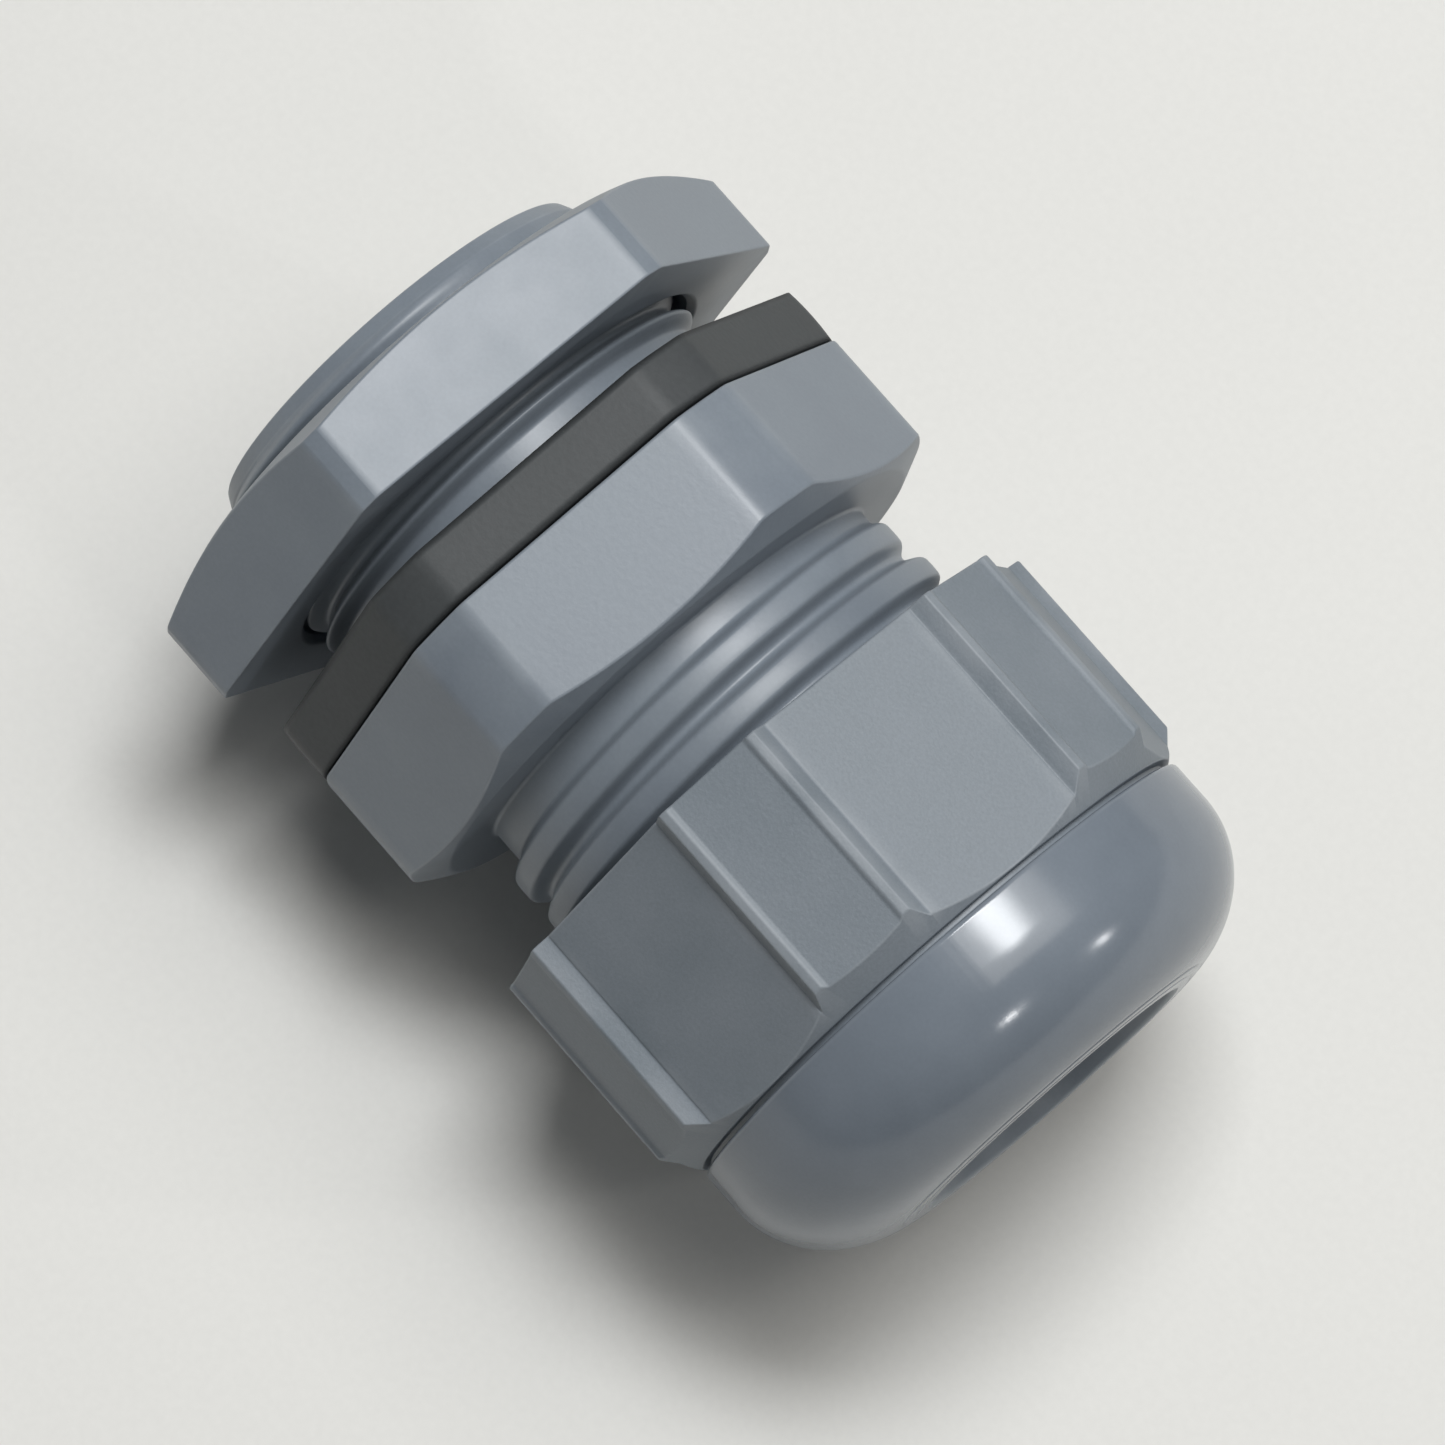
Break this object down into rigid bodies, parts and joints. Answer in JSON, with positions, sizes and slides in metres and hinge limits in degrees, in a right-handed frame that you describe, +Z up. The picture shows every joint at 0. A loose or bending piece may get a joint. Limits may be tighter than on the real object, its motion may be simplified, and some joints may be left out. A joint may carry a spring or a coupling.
{
  "type": "cable gland",
  "caption": "Grey polyamide cable gland: ribbed dome nut over a clamping cage and sealing ring, hexagonal body with panel seal, and a lock nut behind the panel.",
  "frame": {"origin": "on the gland's axis, in the plane where the panel seal meets the outside of the panel", "axes": "+X along the gland's axis from the panel out through the dome nut; +Z upwards in the pictured enclosure's lie, 7.2 degrees from square to a flat of the body's hexagon; +Y completes the right-hand frame"},
  "size_m": [0.0501, 0.0364, 0.0338],
  "materials": {
    "grey_polyamide": "fine spark-eroded texture on the grips, satin on the dome",
    "dark_rubber": "matt moulded rubber",
    "black_rubber": "matt moulded rubber",
    "cage_polyamide": "plain moulded"
  },
  "bodies": {
    "body": {"gland_body": "grey_polyamide", "panel_seal": "dark_rubber", "cage_base": "cage_polyamide"},
    "lock_nut": {"lock_nut": "grey_polyamide"},
    "seal_push": {"sealing_ring": "black_rubber"},
    "dome_nut": {"dome_nut": "grey_polyamide"},
    "lamella_01": {"lamella_01": "cage_polyamide"},
    "lamella_02": {"lamella_02": "cage_polyamide"},
    "lamella_03": {"lamella_03": "cage_polyamide"},
    "lamella_04": {"lamella_04": "cage_polyamide"},
    "lamella_05": {"lamella_05": "cage_polyamide"},
    "lamella_06": {"lamella_06": "cage_polyamide"},
    "lamella_07": {"lamella_07": "cage_polyamide"},
    "lamella_08": {"lamella_08": "cage_polyamide"},
    "lamella_09": {"lamella_09": "cage_polyamide"},
    "lamella_10": {"lamella_10": "cage_polyamide"},
    "lamella_11": {"lamella_11": "cage_polyamide"},
    "lamella_12": {"lamella_12": "cage_polyamide"}
  },
  "joints": [
    {"name": "nut_travel", "type": "slide", "parent": "body", "child": "seal_push", "axis": [-1, 0, 0], "range_m": [0, 0.0045]},
    {"name": "nut_turn", "type": "hinge", "parent": "seal_push", "child": "dome_nut", "pos_m": [0.03, 0, 0], "axis": [-1, 0, 0], "range_deg": [0, 648]},
    {"name": "lock_nut_turn", "type": "hinge", "parent": "body", "child": "lock_nut", "pos_m": [-0.00575, 0, 0], "axis": [1, 0, 0], "range_deg": [-30, 30]},
    {"name": "lamella_01_bend", "type": "hinge", "parent": "body", "child": "lamella_01", "pos_m": [0.0223, 0, 0.0102], "axis": [0, 1, 0], "range_deg": [0, 16]},
    {"name": "lamella_02_bend", "type": "hinge", "parent": "body", "child": "lamella_02", "pos_m": [0.0223, 0.0051, 0.00883], "axis": [0, 0.866, -0.5], "range_deg": [0, 16]},
    {"name": "lamella_03_bend", "type": "hinge", "parent": "body", "child": "lamella_03", "pos_m": [0.0223, 0.00883, 0.0051], "axis": [0, 0.5, -0.866], "range_deg": [0, 16]},
    {"name": "lamella_04_bend", "type": "hinge", "parent": "body", "child": "lamella_04", "pos_m": [0.0223, 0.0102, 0], "axis": [0, 0, -1], "range_deg": [0, 16]},
    {"name": "lamella_05_bend", "type": "hinge", "parent": "body", "child": "lamella_05", "pos_m": [0.0223, 0.00883, -0.0051], "axis": [0, -0.5, -0.866], "range_deg": [0, 16]},
    {"name": "lamella_06_bend", "type": "hinge", "parent": "body", "child": "lamella_06", "pos_m": [0.0223, 0.0051, -0.00883], "axis": [0, -0.866, -0.5], "range_deg": [0, 16]},
    {"name": "lamella_07_bend", "type": "hinge", "parent": "body", "child": "lamella_07", "pos_m": [0.0223, 0, -0.0102], "axis": [0, -1, 0], "range_deg": [0, 16]},
    {"name": "lamella_08_bend", "type": "hinge", "parent": "body", "child": "lamella_08", "pos_m": [0.0223, -0.0051, -0.00883], "axis": [0, -0.866, 0.5], "range_deg": [0, 16]},
    {"name": "lamella_09_bend", "type": "hinge", "parent": "body", "child": "lamella_09", "pos_m": [0.0223, -0.00883, -0.0051], "axis": [0, -0.5, 0.866], "range_deg": [0, 16]},
    {"name": "lamella_10_bend", "type": "hinge", "parent": "body", "child": "lamella_10", "pos_m": [0.0223, -0.0102, 0], "axis": [0, 0, 1], "range_deg": [0, 16]},
    {"name": "lamella_11_bend", "type": "hinge", "parent": "body", "child": "lamella_11", "pos_m": [0.0223, -0.00883, 0.0051], "axis": [0, 0.5, 0.866], "range_deg": [0, 16]},
    {"name": "lamella_12_bend", "type": "hinge", "parent": "body", "child": "lamella_12", "pos_m": [0.0223, -0.0051, 0.00883], "axis": [0, 0.866, 0.5], "range_deg": [0, 16]}
  ],
  "couplings": [
    {"joint": "nut_turn", "follows": "nut_travel", "rad_per_m": 2513.3},
    {"joint": "lamella_01_bend", "follows": "nut_travel", "rad_per_m": 62},
    {"joint": "lamella_02_bend", "follows": "nut_travel", "rad_per_m": 62},
    {"joint": "lamella_03_bend", "follows": "nut_travel", "rad_per_m": 62},
    {"joint": "lamella_04_bend", "follows": "nut_travel", "rad_per_m": 62},
    {"joint": "lamella_05_bend", "follows": "nut_travel", "rad_per_m": 62},
    {"joint": "lamella_06_bend", "follows": "nut_travel", "rad_per_m": 62},
    {"joint": "lamella_07_bend", "follows": "nut_travel", "rad_per_m": 62},
    {"joint": "lamella_08_bend", "follows": "nut_travel", "rad_per_m": 62},
    {"joint": "lamella_09_bend", "follows": "nut_travel", "rad_per_m": 62},
    {"joint": "lamella_10_bend", "follows": "nut_travel", "rad_per_m": 62},
    {"joint": "lamella_11_bend", "follows": "nut_travel", "rad_per_m": 62},
    {"joint": "lamella_12_bend", "follows": "nut_travel", "rad_per_m": 62}
  ]
}
